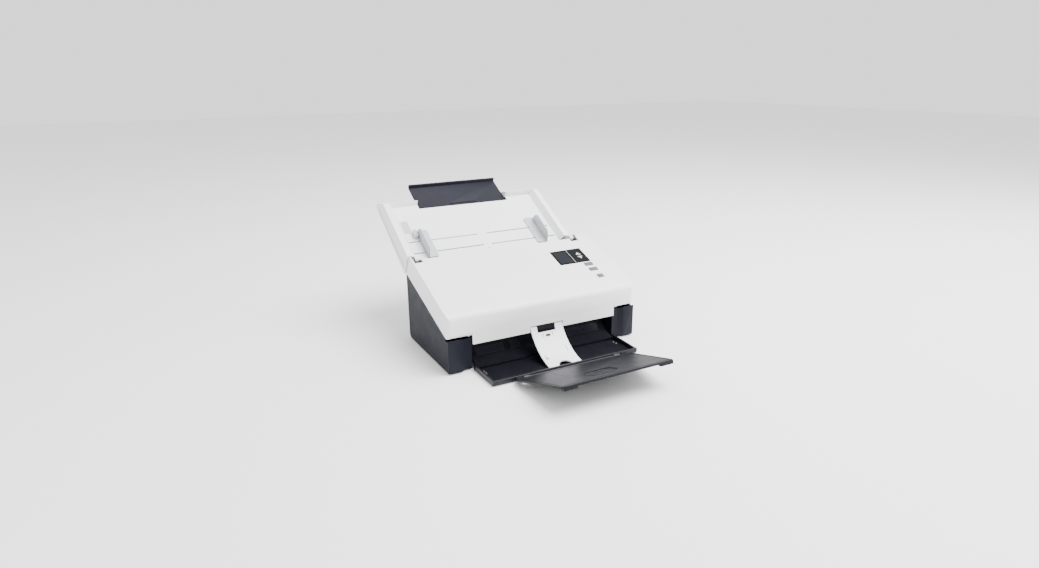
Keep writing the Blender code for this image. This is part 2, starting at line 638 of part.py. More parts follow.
def paper_guides(hinge):
    """Two guides on racks that one pinion drives apart and together, each with a folding fin."""
    specs = (("left", -1, PINION_S + PINION_RADIUS), ("right", 1, PINION_S - PINION_RADIUS))
    for name, sign, s_pitch in specs:
        x = PAPER_MIDDLE + sign * GUIDE_FROM_MIDDLE
        slide = pivot_at(name + "_guide_axis", *paper(PINION_S, 0), x, hinge)
        inward = -sign

        def span(a, b):
            return sorted((x + inward * a, x + inward * b))

        foot = rounded(box_outline(*span(-2.6, 17), -12, 50), (3,) * 4, 3)
        guide = prism(name + "_guide", off_plane(foot, 0.4, 1.8, paper), TRANSLUCENT, slide)
        body = s_pitch + (4.2 if s_pitch > PINION_S else -4.2)
        ends = sorted((x, PAPER_MIDDLE + sign * -14))
        phase = PAPER_MIDDLE if sign < 0 else PAPER_MIDDLE + PITCH * PINION_TEETH / 2
        add(guide, off_plane(teeth_line(*ends, body, s_pitch, phase), RACK_LOW, RACK_HIGH, paper))
        other, slot = GUIDE_SLOTS if s_pitch > PINION_S else reversed(GUIDE_SLOTS)
        for s, low in ((slot, -3.6), (other, -2.2)):
            add(guide, off_plane(box_outline(*span(4, 14), s - 0.5, s + 0.5), low, 0.8, paper))
        knob = rounded(box_outline(*span(-9, -2), 33, 49), (3, 3, 3, 3), 3)
        add(guide, off_plane(knob, 0.4, 7, paper))
        fold = pivot_at(name + "_fin_axis", *paper(PINION_S, 2.9), x, slide)
        fin = rounded([(-12, 2.3), (46, 2.3), (43, 13), (36, 19), (-5, 19)], (0, 1, 6, 5, 6), 3)
        low, high = span(-0.8, 0.8)
        prism(name + "_fin", across(fin, low, high, paper), TRANSLUCENT, fold)


def pinion(hinge):
    turn = pivot_at("pinion_axis", *paper(PINION_S, 0), PAPER_MIDDLE, hinge)
    points = []
    for k in range(PINION_TEETH):
        middle = math.pi / 2 + 2 * math.pi * (k + 0.5) / PINION_TEETH
        for offset, radius in ((-0.125, 8.9), (-0.05, 10.9), (0.05, 10.9), (0.125, 8.9)):
            points.append((PAPER_MIDDLE + radius * math.cos(middle + offset),
                           PINION_S + radius * math.sin(middle + offset)))
    gear = prism("guide_pinion", off_plane(points, RACK_LOW, RACK_HIGH, paper), PART_GREY, turn)
    cut(gear, off_plane(disc_outline(PAPER_MIDDLE, PINION_S, 2.8), -9, 0, paper))


def tray_extension(hinge):
    slide = pivot_at("extension_axis", *paper(92, -5), PAPER_MIDDLE, hinge)
    section = [(91.5, -5.6), (163, -5.6), (167, -2.4), (166, 2.2), (163.4, 2.0), (162.4, -3.0),
               (91.5, -3.0)]
    low, high = EXTENSION_BAY
    piece = prism("tray_extension", across(section, low + 1.2, high - 1.2, paper), SLATE, slide)
    cut(piece, off_plane(rounded(box_outline(-40, 10, 108, 114), (3,) * 4, 3), -4, 5, paper))


# ---------------------------------------------------------------- exit tray

def flap_span(sign, near, far):
    """The low and high x of a span on one side of the flap's middle."""
    return sorted((FLAP_MIDDLE + sign * near, FLAP_MIDDLE + sign * far))


def exit_tray():
    slide = pivot_at("exit_tray_axis", -30, 3)
    section = rounded([(-62, 1), (2, 1), (2, 2.6), (-57, 2.6), (-58.6, 8), (-62, 8)],
                      (2, 0, 0, 1, 0.8, 1), 2)
    piece = prism("output_tray", across(section, -119.8, 119.8), BLACK, slide)
    lip = [(-61, 1.2), (1.8, 1.2), (1.8, 8.6), (-24, 8.6), (-60, 7.6)]
    for low, high in ((-119.7, -116.8), (116.8, 119.7)):
        add(piece, across(lip, low, high))
    arm = [(-61, 2.6), (-61, 7.4), (-66, 8.6), (-68.4, 7.4), (-68.6, 4.6), (-66, 3.2)]
    for sign in (-1, 1):
        add(piece, across(arm, *flap_span(sign, 70, 80)))
    cut(piece, across(disc_outline(FLAP_Y, FLAP_Z, 1.9, 12), -85, 85))
    rod_axis = pivot_at("flap_axis", FLAP_Y, FLAP_Z, 0, slide)
    shaft("flap_rod", (FLAP_Y, FLAP_Z), FLAP_MIDDLE - 92, FLAP_MIDDLE + 92, STEEL, rod_axis, 1.5)
    plan = [(FLAP_MIDDLE - FLAP_HALF, 3.6), (FLAP_MIDDLE + FLAP_HALF, 3.6),
            (FLAP_MIDDLE + FLAP_TIP_HALF, FLAP_LENGTH), (FLAP_MIDDLE - FLAP_TIP_HALF, FLAP_LENGTH)]
    plan = rounded(plan, (2, 2, 5, 5), 3)
    leaf = prism("output_flap", off_plane(plan, -1.6, 1.2, flap), BLACK, rod_axis)
    for sign in (-1, 1):
        corner = box_outline(*flap_span(sign, 65, 85), FLAP_LENGTH - 7, FLAP_LENGTH - 0.6)
        add(leaf, off_plane(corner, -4.6, 0, flap))
        knuckle = [(0, 2.9), (6, 1.1), (6, -1.5), (0, -2.9), (-2.5, -1.5), (-2.5, 1.5)]
        add(leaf, across(knuckle, *flap_span(sign, 82, 92), flap))
        rail = box_outline(*flap_span(sign, 82.5, 84.6), 7, FLAP_LENGTH - 5)
        add(leaf, off_plane(rail, -3.4, 0, flap))
    for sign in (-1, 1):
        relief = box_outline(*flap_span(sign, 69, 81), 0, 8)
        cut(leaf, off_plane(relief, -9, 9, flap))
    cut(leaf, across(disc_outline(FLAP_Y, FLAP_Z, 1.9, 12), -FLAP_HALF - 10, FLAP_HALF + 10))
    cut(leaf, off_plane(rounded(box_outline(-26, 18, 68, 96), (8,) * 4, 3), 0.4, 5, flap))


def exit_guide():
    """A curved white tongue that leads sheets down on to the tray."""
    mount = prism("guide_bracket", across(box_outline(0, WALL, 40.8, 48.6), -16.6, 12.6), BLACK)
    add(mount, across([(1, 42.6), (33, 45.6), (33, 47.8), (1, 46.4)], -14, 10),
        across(disc_outline(GUIDE_Y, GUIDE_Z, 1.2, 12), -26.4, 25.4))
    cut(mount, across(disc_outline(HINGE_Y, HINGE_Z, SKIRT_SWING, 32), -20, 20))
    lift = pivot_at("output_guide_axis", GUIDE_Y, GUIDE_Z)
    route = [(0.4, 44.6), (-1.4, 40.6), (-5.2, 34.6), (-13.4, 26), (-22, 18.6), (-32, 12.6),
             (-43, 8), (-54.4, 5.2)]
    below = []
    for k, point in enumerate(route):
        ahead = Vector(route[min(k + 1, len(route) - 1)]) - Vector(route[max(k - 1, 0)])
        normal = Vector((-ahead.y, ahead.x)).normalized()
        below.append(tuple(Vector(point) + normal * 1.8))
    strip = prism("output_guide", across(route + below[::-1], -27.2, 26.2), WHITE, lift)
    for low, high in ((-27.2, -17.2), (13.2, 26.2)):
        add(strip, across(disc_outline(GUIDE_Y, GUIDE_Z, 2.9), low, high))
    cut(strip, across(box_outline(-4, 9, 37.6, 60), -17.2, 13.2),
        across(disc_outline(GUIDE_Y, GUIDE_Z, 1.6, 12), -40, 40),
        upright(disc_outline(0, -56, 11, 20), -5, 30),
        across(box_outline(-9, 2, 31.6, 34.2), -6, 2))


def main():
    for thing in list(bpy.data.objects):
        bpy.data.objects.remove(thing, do_unlink=True)
    base_side(-1, "left_side_cover")
    base_side(1, "right_side_cover")
    base_panels()
    paper_bin()
    frames()
    lower_path()
    electronics()
    roller_set()
    side_switches()
    cover_hinge = pivot_at("cover_hinge", HINGE_Y, HINGE_Z)
    cover_shell(cover_hinge)
    control_panel(cover_hinge)
    upper_path(cover_hinge)
    tray_hinge = pivot_at("tray_hinge", PIVOT_Y, PIVOT_Z)
    tray(tray_hinge)
    paper_guides(tray_hinge)
    pinion(tray_hinge)
    tray_extension(tray_hinge)
    exit_tray()
    exit_guide()


main()
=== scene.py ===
"""Finishes a sheet fed desk scanner: rolled edges, moulded surfaces, ribs, marks and studio.

Places are in metres in the frame's own axes: X along the rollers, Y to the back, Z up. Three flat
working planes are used, as the machine is drawn: the paper plane, the lid plane and the flap plane.
"""

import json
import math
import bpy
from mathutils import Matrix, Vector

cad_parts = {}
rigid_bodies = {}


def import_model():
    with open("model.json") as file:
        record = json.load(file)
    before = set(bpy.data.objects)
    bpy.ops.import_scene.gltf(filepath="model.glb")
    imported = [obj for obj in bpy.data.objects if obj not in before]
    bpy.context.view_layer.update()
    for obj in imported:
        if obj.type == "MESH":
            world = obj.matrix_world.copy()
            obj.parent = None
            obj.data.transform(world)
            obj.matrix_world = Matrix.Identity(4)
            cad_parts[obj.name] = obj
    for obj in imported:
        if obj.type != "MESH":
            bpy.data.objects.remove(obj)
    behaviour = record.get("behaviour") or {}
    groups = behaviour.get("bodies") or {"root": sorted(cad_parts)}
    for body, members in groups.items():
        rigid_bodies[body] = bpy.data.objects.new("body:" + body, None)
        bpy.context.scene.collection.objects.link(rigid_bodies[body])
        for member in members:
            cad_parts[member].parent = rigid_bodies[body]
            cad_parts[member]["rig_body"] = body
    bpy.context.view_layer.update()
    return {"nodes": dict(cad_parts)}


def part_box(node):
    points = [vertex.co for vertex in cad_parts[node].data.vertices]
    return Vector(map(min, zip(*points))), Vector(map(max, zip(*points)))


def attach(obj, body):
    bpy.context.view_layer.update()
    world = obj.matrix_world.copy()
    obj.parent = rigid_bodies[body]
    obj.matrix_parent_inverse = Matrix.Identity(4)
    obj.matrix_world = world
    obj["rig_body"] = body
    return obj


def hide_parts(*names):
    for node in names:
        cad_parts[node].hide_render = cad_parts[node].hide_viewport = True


bl_info = {
    "name": "Sheet fed scanner finish",
    "version": (1, 0, 0),
    "blender": (4, 5, 0),
    "location": "3D View > Sidebar > Scanner",
    "description": "Finishes a desk scanner's shells, trays, rollers and panel round its frame",
    "category": "Object",
}

import bmesh
import bpy
import numpy as np
from bpy.props import FloatProperty, FloatVectorProperty, IntProperty, PointerProperty
from mathutils import Matrix, Vector

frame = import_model()

MM = 0.001


# ---------------------------------------------------------------- working planes

def node_box(name):
    low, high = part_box(name)
    return np.array(low), np.array(high)


FRONT_Y = node_box("top_cover")[0][1]

# the exit flap, from its hinge: its middle, half width and place of its two ends
FLAP_MIDDLE = 4.5 * MM
FLAP_HALVES = np.array([95.5, 86.0]) * MM
FLAP_ENDS = np.array([3.6, 116.2]) * MM
# top faces of the flap and of the exit tray above their planes, where the ribs stand
FLAP_TOP = 1.2 * MM
TRAY_TOP = 2.6 * MM

# curved liner and rollers
LINER_THICK = 2.4 * MM
ROLLER_BORE = 3.35
TYRE_WIDTH = 26

# camera
LENS = 23.38
SENSOR = 36.0
CAMERA_AT = (-0.4732, FRONT_Y - 0.8046, 0.4075)
CAMERA_LOOKS_AT = (0.00194, FRONT_Y + 0.0900, 0.08483)
CAMERA_ROLL = math.radians(-0.41)
FLOOR_REACH = 6.0


class Plane:
    """A sloping plane through a point: along runs up the slope, off stands on it, x is shared."""

    def __init__(self, y, z, degrees):
        turn = math.radians(degrees)
        self.origin = np.array([0.0, y, z])
        self.along = np.array([0.0, math.cos(turn), math.sin(turn)])
        self.off = np.array([0.0, -math.sin(turn), math.cos(turn)])
        self.across = np.array([1.0, 0.0, 0.0])

    def point(self, x, along, off):
        x, along, off = np.broadcast_arrays(x, along, off)
        return (self.origin + x[..., None] * self.across + along[..., None] * self.along
                + off[..., None] * self.off)


PAPER = Plane(FRONT_Y + 168.0 * MM, 133.8 * MM, 29.9)
LID = Plane(FRONT_Y, 85.2 * MM, 20.044)
FLAP = Plane(FRONT_Y - 66.0 * MM, 6.0 * MM, -17.0)
FLAP.along = -FLAP.along
DESK = Plane(0.0, 0.0, 0.0)


# ---------------------------------------------------------------- meshes

def new_piece(name, vertices, faces, body, slot, finish):
    """A mesh from arrays, with outward faces, that rides on a body of the frame."""
    mesh = bpy.data.meshes.new(name)
    mesh.from_pydata(np.asarray(vertices, float).reshape(-1, 3).tolist(), [],
                     [list(map(int, f)) for f in faces])
    mesh.validate()
    bm = bmesh.new()
    bm.from_mesh(mesh)
    bmesh.ops.remove_doubles(bm, verts=bm.verts, dist=1e-6)
    bmesh.ops.recalc_face_normals(bm, faces=bm.faces)
    bm.to_mesh(mesh)
    bm.free()
    mesh.shade_smooth()
    mesh.set_sharp_from_angle(angle=math.radians(35))
    mesh.materials.append(finish)
    piece = bpy.data.objects.new(name, mesh)
    bpy.context.scene.collection.objects.link(piece)
    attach(piece, body)
    return piece


def grid_faces(rows, columns, wrap_rows=False, wrap_columns=False):
    """The quads of a grid of points, as one array; a wrapped side joins its end to its start."""
    r = np.arange(rows if wrap_rows else rows - 1)
    c = np.arange(columns if wrap_columns else columns - 1)
    r, c = (a.ravel() for a in np.meshgrid(r, c, indexing="ij"))
    up, on = (r + 1) % rows, (c + 1) % columns
    return np.stack([r * columns + c, r * columns + on, up * columns + on, up * columns + c], 1)


def turned_surface(profile, centre, steps):
    """A profile (x, radius) turned about an axis along X: y = cy + r cos a, z = cz + r sin a."""
    profile = np.asarray(profile, float)
    angle = np.linspace(0, 2 * np.pi, steps, endpoint=False)
    x = np.repeat(profile[:, :1], steps, 1)
    y = centre[0] + profile[:, 1:] * np.cos(angle)
    z = centre[1] + profile[:, 1:] * np.sin(angle)
    return np.stack([x, y, z], -1), grid_faces(len(profile), steps, True, True)


def pillow(plane, x0, x1, a0, a1, base, height, power=8.0, rings=5, steps=40):
    """A low raised pad: a superellipse |u|^p + |v|^p = 1 scaled by r, whose height falls as
    h (1 - r^4) towards the rim; a flat disc closes it below."""
    angle = np.linspace(0, 2 * np.pi, steps, endpoint=False)
    cosine, sine = np.cos(angle), np.sin(angle)
    reach = (np.abs(cosine) ** power + np.abs(sine) ** power) ** (-1 / power)
    radius = np.linspace(1, 0.12, rings)[:, None]
    u, v = radius * reach * cosine, radius * reach * sine
    off = base + height * (1 - radius ** 4) + 0 * u
    x = (x0 + x1) / 2 + u * (x1 - x0) / 2
    along = (a0 + a1) / 2 + v * (a1 - a0) / 2
    points = plane.point(x, along, off)
    faces = grid_faces(rings, steps, False, True).tolist()
    faces.append(list(range((rings - 1) * steps, rings * steps)))
    skirt = plane.point(x[0], along[0], np.full(steps, base - 0.3 * MM))
    points = np.concatenate([points.reshape(-1, 3), skirt])
    start = rings * steps
    for k in range(steps):
        after = (k + 1) % steps
        faces.append([k, after, start + after, start + k])
    faces.append(list(range(start, start + steps))[::-1])
    return points, faces


def merged(parts):
    """Several (points, faces) shapes as one list of points and faces."""
    points, faces, start = [], [], 0
    for p, f in parts:
        p = np.asarray(p, float).reshape(-1, 3)
        points.append(p)
        faces += [[int(i) + start for i in face] for face in f]
        start += len(p)
    return np.concatenate(points), faces


def bar(plane, x0, x1, a0, a1, base, height, roll=0.35):
    """A straight rib with a half-round top: the section is a flat foot and a raised cosine."""
    long_x = abs(x1 - x0) > abs(a1 - a0)
    across = np.linspace(-1, 1, 9)
    bump = base + height * np.cos(across * np.pi / 2) ** roll
    bump[[0, -1]] = base - 0.2 * MM
    ends = np.array([x0, x1] if long_x else [a0, a1])
    middle = (a0 + a1) / 2 if long_x else (x0 + x1) / 2
    half = abs(a1 - a0) / 2 if long_x else abs(x1 - x0) / 2
    run, side = np.meshgrid(ends, middle + across * half, indexing="ij")
    level = np.broadcast_to(bump, run.shape)
    points = plane.point(run, side, level) if long_x else plane.point(side, run, level)
    count = len(across)
    faces = grid_faces(2, count, False, True).tolist()
    faces += [list(range(count)), list(range(count, 2 * count))[::-1]]
    return points, faces


def softened(node, width, finish):
    """A copy of a frame node: its triangles are joined, flat faces merged and its edges rolled."""
    source = frame["nodes"][node]
    corner = math.radians(30)
    bm = bmesh.new()
    bm.from_mesh(source.data)
    bmesh.ops.remove_doubles(bm, verts=bm.verts, dist=2e-5)
    bmesh.ops.dissolve_limit(bm, angle_limit=math.radians(0.6), verts=bm.verts, edges=bm.edges,
                             delimit={"NORMAL"})
    mesh = bpy.data.meshes.new(node + "_skin")
    bm.to_mesh(mesh)
    bm.free()
    mesh.shade_smooth()
    mesh.set_sharp_from_angle(angle=corner)
    mesh.materials.clear()
    mesh.materials.append(finish)
    piece = bpy.data.objects.new(node + "_skin", mesh)
    bpy.context.scene.collection.objects.link(piece)
    roll = piece.modifiers.new("rolled_edges", "BEVEL")
    roll.width = width
    roll.segments = 2
    roll.limit_method = "ANGLE"
    roll.angle_limit = corner
    roll.use_clamp_overlap = True
    roll.harden_normals = True
    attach(piece, source["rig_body"])
    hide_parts(node)
    return piece


# ---------------------------------------------------------------- shader maths

class Value:
    """A socket that carries a number; arithmetic on it adds the Math nodes."""

    def __init__(self, sheet, socket):
        self.sheet = sheet
        self.socket = socket

    def maths(self, operation, *terms):
        return self.sheet.node("ShaderNodeMath", {"operation": operation},
                               dict(enumerate(terms)))

    def __add__(self, other):
        return self.maths("ADD", self, other)

    def __radd__(self, other):
        return self.maths("ADD", other, self)

    def __sub__(self, other):
        return self.maths("SUBTRACT", self, other)

    def __rsub__(self, other):
        return self.maths("SUBTRACT", other, self)

    def __mul__(self, other):
        return self.maths("MULTIPLY", self, other)

    def __rmul__(self, other):
        return self.maths("MULTIPLY", other, self)


class Finish:
    """One material: its nodes come from node(), and dress() sets the surface's own sockets."""

    def __init__(self, name):
        self.material = bpy.data.materials.new(name)
        self.material.use_nodes = True
        self.tree = self.material.node_tree
        self.surface = self.tree.nodes["Principled BSDF"]
        place = self.tree.nodes.new("ShaderNodeTexCoord")
        self.place = Value(self, place.outputs["Object"])

    def node(self, kind, settings=None, sockets=None, out=0):
        made = self.tree.nodes.new(kind)
        for key, setting in (settings or {}).items():
            setattr(made, key, setting)
        for key, given in (sockets or {}).items():
            self.feed(made.inputs[key], given)
        return Value(self, made.outputs[out])

    def feed(self, socket, given):
        if isinstance(given, Value):
            self.tree.links.new(given.socket, socket)
        elif socket.type == "RGBA":
            socket.default_value = (*tuple(given)[:3], 1.0)
        else:
            socket.default_value = given

    def mapping(self, scale, turn=(0, 0, 0)):
        return self.node("ShaderNodeMapping", {}, {0: self.place, "Rotation": turn, "Scale": scale})

    def noise(self, scale, detail=3.0, rough=0.5, place=None):
        return self.node("ShaderNodeTexNoise", {},
                         {"Vector": place or self.place, "Scale": scale, "Detail": detail,
                          "Roughness": rough})

    def cells(self, scale, feature="F1", place=None):
        return self.node("ShaderNodeTexVoronoi", {"feature": feature},
                         {"Vector": place or self.place, "Scale": scale})

    def ramp(self, value, low, high):
        """A number carried from low..high to 0..1, held at both ends."""
        return self.node("ShaderNodeMapRange", {"clamp": True},
                         {0: value, 1: low, 2: high, 3: 0.0, 4: 1.0})

    def mix(self, share, first, second):
        return self.node("ShaderNodeMix", {"data_type": "RGBA"}, {0: share, 6: first, 7: second},
                         out=2)

    def bump(self, height, strength, distance):
        return self.node("ShaderNodeBump", {}, {"Height": height, "Strength": strength,
                                                "Distance": distance})

    def dress(self, **sockets):
        for key, given in sockets.items():
            self.feed(self.surface.inputs[key.replace("_", " ")], given)
        return self.material


def tone(colour, share):
    return tuple(channel * share for channel in colour)


def moulded(name, colour, roughness, grain, spread, shine=0.5):
    """Spark-eroded plastic: fine cells in the mould, faint cloudiness, rubbed patches."""
    f = Finish(name)
    cloud = f.noise(14.0, 4.0)
    rubbed = f.ramp(f.noise(38.0, 5.0, 0.6), 0.45, 0.72)
    pits = f.cells(2600.0)
    fine = f.noise(1900.0, 2.0)
    height = pits * 0.6 + fine * 0.4
    return f.dress(
        Base_Color=f.mix(cloud, tone(colour, 1 - spread), tone(colour, 1 + spread)),
        Roughness=roughness + 0.05 * pits - 0.07 * rubbed,
        Normal=f.bump(height, 0.28 * grain, 0.00012),
        Specular_IOR_Level=shine)


def frosted(name, colour):
    """Cloudy clear plastic: light passes a little way in, and the surface is silky."""
    f = Finish(name)
    cloud = f.noise(30.0, 3.0)
    return f.dress(
        Base_Color=f.mix(cloud, tone(colour, 0.94), tone(colour, 1.04)),
        Roughness=0.3 + 0.12 * f.noise(900.0, 2.0),
        Normal=f.bump(f.noise(1400.0, 2.0), 0.12, 0.0001),
        Transmission_Weight=0.28, IOR=1.49, Specular_IOR_Level=0.5)


def piano(name, colour):
    """Polished dark plastic under a clear coat, with a very slight orange peel."""
    f = Finish(name)
    return f.dress(
        Base_Color=f.mix(f.noise(20.0), tone(colour, 0.9), tone(colour, 1.15)),
        Roughness=0.09 + 0.07 * f.ramp(f.noise(60.0, 6.0, 0.65), 0.4, 0.7),
        Normal=f.bump(f.noise(220.0, 1.0), 0.05, 0.0001),
        Coat_Weight=0.03, Coat_Roughness=0.04, Specular_IOR_Level=0.1)


def ground_steel(name, colour):
    """Turned steel: fine scratches that run round the shaft, drawn out by a stretched pattern."""
    f = Finish(name)
    lines = f.noise(1.0, 5.0, 0.7, f.mapping((4200.0, 60.0, 60.0)))
    return f.dress(
        Base_Color=f.mix(f.noise(25.0), tone(colour, 0.85), tone(colour, 1.05)),
        Metallic=1.0, Roughness=0.2 + 0.22 * lines,
        Normal=f.bump(lines, 0.15, 0.0001))


def soft_rubber(name, colour):
    """Matt rubber: coarse grain with dust that has settled on it."""
    f = Finish(name)
    dust = f.ramp(f.noise(70.0, 5.0, 0.6), 0.5, 0.8)
    return f.dress(
        Base_Color=f.mix(dust, colour, tone(colour, 1.9)),
        Roughness=0.78 + 0.14 * dust,
        Normal=f.bump(f.noise(1100.0, 3.0), 0.5, 0.0002))


def solder_mask(name, colour):
    """Green lacquer over copper runs: the runs stand up along the edges of square cells."""
    f = Finish(name)
    runs = f.ramp(f.cells(260.0, "DISTANCE_TO_EDGE", f.mapping((1, 1, 0.01))), 0.02, 0.06)
    return f.dress(
        Base_Color=f.mix(runs, tone(colour, 2.4), colour), Roughness=0.28 + 0.2 * runs,
        Normal=f.bump(1 - runs, 0.5, 0.0001))


def clear_glass(name, colour):
    """Sensor glass, with the faint haze of wiped dust."""
    f = Finish(name)
    return f.dress(
        Base_Color=f.mix(f.noise(12.0), tone(colour, 0.95), colour),
        Roughness=0.03 + 0.06 * f.ramp(f.noise(50.0, 5.0), 0.45, 0.75),
        Transmission_Weight=0.8, IOR=1.5)


LOOKS = {}


def make_looks(colours):
    """Every finish, made once from the panel's colours."""
    LOOKS.update(
        white=moulded("white_plastic", colours.white, 0.38, 0.7, 0.012),
        slate=moulded("slate_plastic", colours.slate, 0.55, 1.2, 0.10, 0.14),
        black=moulded("black_plastic", colours.black, 0.38, 1.3, 0.15, 0.28),
        flap=moulded("flap_plastic", colours.black, 0.42, 1.0, 0.2, 0.2),
        grey=moulded("pale_grey_plastic", colours.pale_grey, 0.42, 0.8, 0.03),
        clear=frosted("frosted_plastic", colours.clear),
        panel=piano("panel_gloss", colours.panel),
        screen=piano("screen_window", colours.screen),
        key=moulded("key_plastic", colours.key, 0.4, 0.8, 0.05),
        inner=moulded("inner_plastic", colours.inner, 0.5, 1.0, 0.08),
        steel=ground_steel("turned_steel", colours.steel),
        rubber=soft_rubber("roller_rubber", colours.rubber),
        board=solder_mask("board_lacquer", colours.board),
        glass=clear_glass("sensor_glass", (0.8, 0.86, 0.86)),
        strip=moulded("liner_strip", tone(colours.black, 3.0), 0.3, 1.0, 0.2),
        # painted shade: a near-black finish laid where slots and holes open, standing in for the
        # shade inside them; on the exit guide it is also the dark print of the brackets
        ink=moulded("painted_gap_shade_and_dark_print", (0.004, 0.004, 0.006), 0.6, 0.4, 0.1),
        lamp=moulded("light_line", colours.pale_grey, 0.3, 0.3, 0.02),
    )


# ---------------------------------------------------------------- settings

def colour_of(name, description, default):
    return FloatVectorProperty(name=name, description=description, subtype="COLOR", size=3,
                               min=0.0, max=1.0, default=default)


def length_of(name, description, default):
    return FloatProperty(name=name, description=description, default=default, unit="LENGTH",
                         min=0.0)


class ScannerColours(bpy.types.PropertyGroup):
    """Colours of the scanner's mouldings."""

    white: colour_of("White", "Cover and input tray", (0.86, 0.86, 0.88))
    slate: colour_of("Slate", "Base and tray extension", (0.0085, 0.0090, 0.0155))
    black: colour_of("Black", "Exit liner, tray and flap", (0.0045, 0.0045, 0.008))
    pale_grey: colour_of("Pale grey", "Inserts and recesses of the tray", (0.46, 0.46, 0.48))
    clear: colour_of("Frosted", "Paper guides", (0.60, 0.62, 0.65))
    panel: colour_of("Panel", "Control panel", (0.003, 0.003, 0.004))
    screen: colour_of("Screen", "Display window", (0.0085, 0.010, 0.014))
    key: colour_of("Keys", "Buttons", (0.085, 0.088, 0.092))
    inner: colour_of("Inner parts", "Frames, idlers and pulleys", (0.07, 0.072, 0.08))
    steel: colour_of("Steel", "Shafts and pins", (0.55, 0.55, 0.57))
    rubber: colour_of("Rubber", "Rollers, belt and feet", (0.02, 0.02, 0.02))
    board: colour_of("Board", "Main circuit board", (0.01, 0.09, 0.03))


class ScannerSizes(bpy.types.PropertyGroup):
    """Sizes of the small detail."""

    shell_roll: length_of("Shell edge", "Radius on the edges of the big shells", 0.7 * MM)
    fine_roll: length_of("Fine edge", "Radius on the edges of small parts", 0.3 * MM)
    rib_height: length_of("Rib height", "How far ribs stand on the trays", 0.5 * MM)
    rib_count: IntProperty(name="Ribs", description="Ribs across the exit tray", default=7, min=2)
    screw_radius: length_of("Screw", "Radius of a screw head", 3.2 * MM)


class ScannerStudio(bpy.types.PropertyGroup):
    """Light on the scanner."""

    key_power: FloatProperty(name="Key light", description="Large light above", default=112.0,
                             unit="POWER")
    fill_power: FloatProperty(name="Fill light", description="Light from the right", default=20.0,
                              unit="POWER")
    surround: FloatProperty(name="Surround", description="Brightness of the room", default=1.55)


# ---------------------------------------------------------------- operators

class Maker(bpy.types.Operator):
    """Base of the operators that make pieces."""

    bl_options = {"REGISTER", "UNDO"}

    def execute(self, context):
        self.make(context.scene.scanner_sizes)
        return {"FINISHED"}


SHELL_SKINS = {
    "left_side_cover": ("slate_shell", "slate"),
    "right_side_cover": ("slate_shell", "slate"),
    "rear_cover": ("slate_shell", "slate"),
    "base_pan": ("slate_shell", "slate"),
    "top_cover": ("white_shell", "white"),
    "tray_shell": ("white_shell", "white"),
    "tray_plate": ("white_shell", "white"),
    "tray_extension": ("slate_shell", "slate"),
}


class SCANNER_OT_shells(Maker):
    """Roll the edges of the casings and give them moulded finishes"""

    bl_idname = "scanner.shells"
    bl_label = "Casings"

    def make(self, sizes):
        for node, (slot, look) in SHELL_SKINS.items():
            width = sizes.shell_roll if node == "top_cover" else sizes.fine_roll
            softened(node, width, LOOKS[look])


FINE_SKINS = {
    "output_tray": ("black_tray", "black"),
    "output_flap": ("black_tray", "flap"),
    "output_guide": ("white_shell", "white"),
    "guide_bracket": ("black_tray", "black"),
    "panel_bezel": ("panel_black", "panel"),
    "display_window": ("screen", "screen"),
    "scan_button": ("key_grey", "key"),
    "mode_button": ("key_grey", "key"),
    "stop_button": ("key_grey", "key"),
    "up_key": ("clear_grey", "clear"),
    "down_key": ("clear_grey", "clear"),
    "left_guide": ("clear_grey", "clear"),
    "right_guide": ("clear_grey", "clear"),
    "left_fin": ("clear_grey", "clear"),
    "right_fin": ("clear_grey", "clear"),
    "cover_release": ("slate_shell", "slate"),
    "power_switch": ("black_tray", "black"),
    "power_inlet": ("black_tray", "black"),
    "usb_port": ("steel", "steel"),
    "lower_guide": ("black_tray", "black"),
    "upper_guide": ("inner_plastic", "inner"),
    "left_frame": ("inner_plastic", "inner"),
    "right_frame": ("inner_plastic", "inner"),
}


class SCANNER_OT_small_parts(Maker):
    """Roll the edges of the small mouldings"""

    bl_idname = "scanner.small_parts"
    bl_label = "Small mouldings"

    def make(self, sizes):
        for node, (slot, look) in FINE_SKINS.items():
            softened(node, sizes.fine_roll, LOOKS[look])


INNER_LOOKS = {
    "lower_image_sensor": "inner", "upper_image_sensor": "inner", "lower_sensor_glass": "glass",
    "upper_sensor_glass": "glass", "main_board": "board", "drive_motor": "steel",
    "feed_shaft": "steel", "transport_shaft": "steel", "exit_shaft": "steel",
    "motor_pulley": "steel", "cover_pin_left": "steel", "cover_pin_right": "steel",
    "flap_rod": "black", "feed_pulley": "inner", "transport_pulley": "inner",
    "exit_pulley": "inner", "guide_pinion": "inner", "transport_idlers": "inner",
    "exit_idlers": "inner", "separation_roller": "rubber", "drive_belt": "rubber",
    "output_bin": "black", "feed_roller": "rubber", "transport_rollers": "rubber",
    "exit_rollers": "rubber", "foot_front_left": "rubber", "foot_front_right": "rubber",
    "foot_rear_left": "rubber", "foot_rear_right": "rubber",
}


class SCANNER_OT_inner_parts(Maker):
    """Give the frame's own inner parts their finishes"""

    bl_idname = "scanner.inner_parts"
    bl_label = "Inner parts"

    def make(self, sizes):
        for node, look in INNER_LOOKS.items():
            mesh = frame["nodes"][node].data
            if mesh.materials:
                mesh.materials[0] = LOOKS[look]
            else:
                mesh.materials.append(LOOKS[look])


